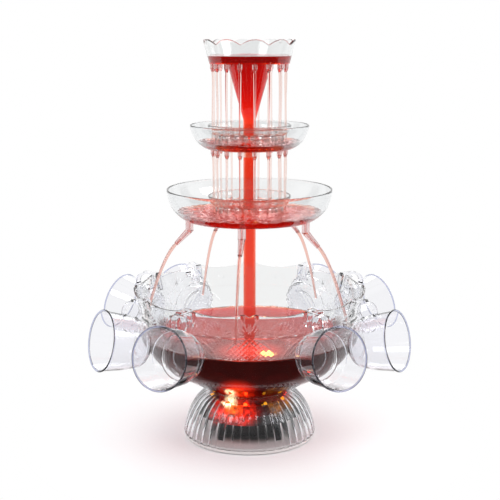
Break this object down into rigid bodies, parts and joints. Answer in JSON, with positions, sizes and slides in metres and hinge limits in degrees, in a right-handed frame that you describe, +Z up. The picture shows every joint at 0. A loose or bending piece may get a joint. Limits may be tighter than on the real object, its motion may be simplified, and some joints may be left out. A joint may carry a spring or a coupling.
{
  "type": "wine fountain",
  "caption": "Clear tabletop wine fountain: lit fluted foot, notched punch bowl, riser tube with two drip tiers and a scalloped crown, and hook-handled cups hung on the rim.",
  "frame": {"origin": "on the table under the middle of the foot", "axes": "+Z up along the riser tube, -Y towards the front, switch and lead hole at the back on +Y"},
  "size_m": [0.4024, 0.4024, 0.516],
  "materials": {
    "clear_plastic": "clear moulded polystyrene",
    "black_plastic": "black moulded ABS",
    "white_plastic": "natural acetal",
    "switch_red": "red moulded polycarbonate",
    "rubber": "black moulded rubber",
    "silicone": "clear moulded silicone",
    "steel": "plated steel",
    "bronze": "sintered bronze",
    "ferrite": "sintered ferrite",
    "board": "glass-fibre circuit board",
    "red_lamp": "red cast epoxy",
    "amber_lamp": "amber cast epoxy"
  },
  "bodies": {
    "base": {"base_shell": "clear_plastic", "base_plate": "clear_plastic", "rubber_feet": "rubber", "base_screws": "steel", "light_deck": "black_plastic", "led_board": "board", "red_leds": "red_lamp", "amber_leds": "amber_lamp", "motor_can": "black_plastic", "motor_cap": "black_plastic", "motor_bushes": "bronze", "motor_magnets": "ferrite", "motor_screws": "steel", "rear_panel": "black_plastic", "switch_pin": "steel", "inlet_grommet": "rubber"},
    "switch": {"switch_rocker": "switch_red"},
    "rotor": {"motor_shaft": "steel", "rotor_core": "steel", "drive_magnet": "ferrite"},
    "bowl": {"bowl": "clear_plastic", "impeller_axle": "steel", "pump_cover": "clear_plastic", "pump_screws": "steel", "outlet_seal": "silicone"},
    "impeller": {"impeller": "white_plastic", "impeller_magnet": "ferrite"},
    "lower_tower": {"lower_tube": "clear_plastic", "lower_tier": "clear_plastic", "lower_splash_ring": "clear_plastic", "spouts": "clear_plastic", "lower_seal": "silicone"},
    "upper_tower": {"upper_tube": "clear_plastic", "upper_tier": "clear_plastic", "upper_splash_ring": "clear_plastic", "upper_nozzles": "clear_plastic", "upper_seal": "silicone"},
    "crown": {"crown": "clear_plastic", "crown_funnel": "clear_plastic", "crown_nozzles": "clear_plastic"},
    "cup_1": {"cup_1": "clear_plastic"},
    "cup_2": {"cup_2": "clear_plastic"},
    "cup_3": {"cup_3": "clear_plastic"},
    "cup_4": {"cup_4": "clear_plastic"},
    "cup_5": {"cup_5": "clear_plastic"},
    "cup_6": {"cup_6": "clear_plastic"},
    "cup_7": {"cup_7": "clear_plastic"},
    "cup_8": {"cup_8": "clear_plastic"}
  },
  "joints": [
    {"name": "switch_tilt", "type": "hinge", "parent": "base", "child": "switch", "pos_m": [-0.0125, 0.0815, 0.0175], "axis": [1, 0, 0], "range_deg": [-20, 0]},
    {"name": "rotor_spin", "type": "hinge", "parent": "base", "child": "rotor", "pos_m": [0, 0, 0.03], "axis": [0, 0, 1], "continuous": true},
    {"name": "bowl_lift", "type": "slide", "parent": "base", "child": "bowl", "axis": [0, 0, 1], "range_m": [0, 0.03]},
    {"name": "impeller_spin", "type": "hinge", "parent": "bowl", "child": "impeller", "pos_m": [0, 0, 0.07], "axis": [0, 0, 1], "continuous": true},
    {"name": "lower_tower_lift", "type": "slide", "parent": "bowl", "child": "lower_tower", "axis": [0, 0, 1], "range_m": [0, 0.13]},
    {"name": "upper_tower_lift", "type": "slide", "parent": "lower_tower", "child": "upper_tower", "axis": [0, 0, 1], "range_m": [0, 0.04]},
    {"name": "crown_lift", "type": "slide", "parent": "upper_tower", "child": "crown", "axis": [0, 0, 1], "range_m": [0, 0.04]},
    {"name": "cup_1_lift", "type": "slide", "parent": "bowl", "child": "cup_1", "axis": [0.1082, -0.1874, 0.9763], "range_m": [0, 0.05]},
    {"name": "cup_2_lift", "type": "slide", "parent": "bowl", "child": "cup_2", "axis": [0.1874, -0.1082, 0.9763], "range_m": [0, 0.05]},
    {"name": "cup_3_lift", "type": "slide", "parent": "bowl", "child": "cup_3", "axis": [0.1874, 0.1082, 0.9763], "range_m": [0, 0.05]},
    {"name": "cup_4_lift", "type": "slide", "parent": "bowl", "child": "cup_4", "axis": [0.1082, 0.1874, 0.9763], "range_m": [0, 0.05]},
    {"name": "cup_5_lift", "type": "slide", "parent": "bowl", "child": "cup_5", "axis": [-0.1082, 0.1874, 0.9763], "range_m": [0, 0.05]},
    {"name": "cup_6_lift", "type": "slide", "parent": "bowl", "child": "cup_6", "axis": [-0.1874, 0.1082, 0.9763], "range_m": [0, 0.05]},
    {"name": "cup_7_lift", "type": "slide", "parent": "bowl", "child": "cup_7", "axis": [-0.1874, -0.1082, 0.9763], "range_m": [0, 0.05]},
    {"name": "cup_8_lift", "type": "slide", "parent": "bowl", "child": "cup_8", "axis": [-0.1082, -0.1874, 0.9763], "range_m": [0, 0.05]}
  ],
  "couplings": [
    {"joint": "impeller_spin", "follows": "rotor_spin", "ratio": 1}
  ]
}
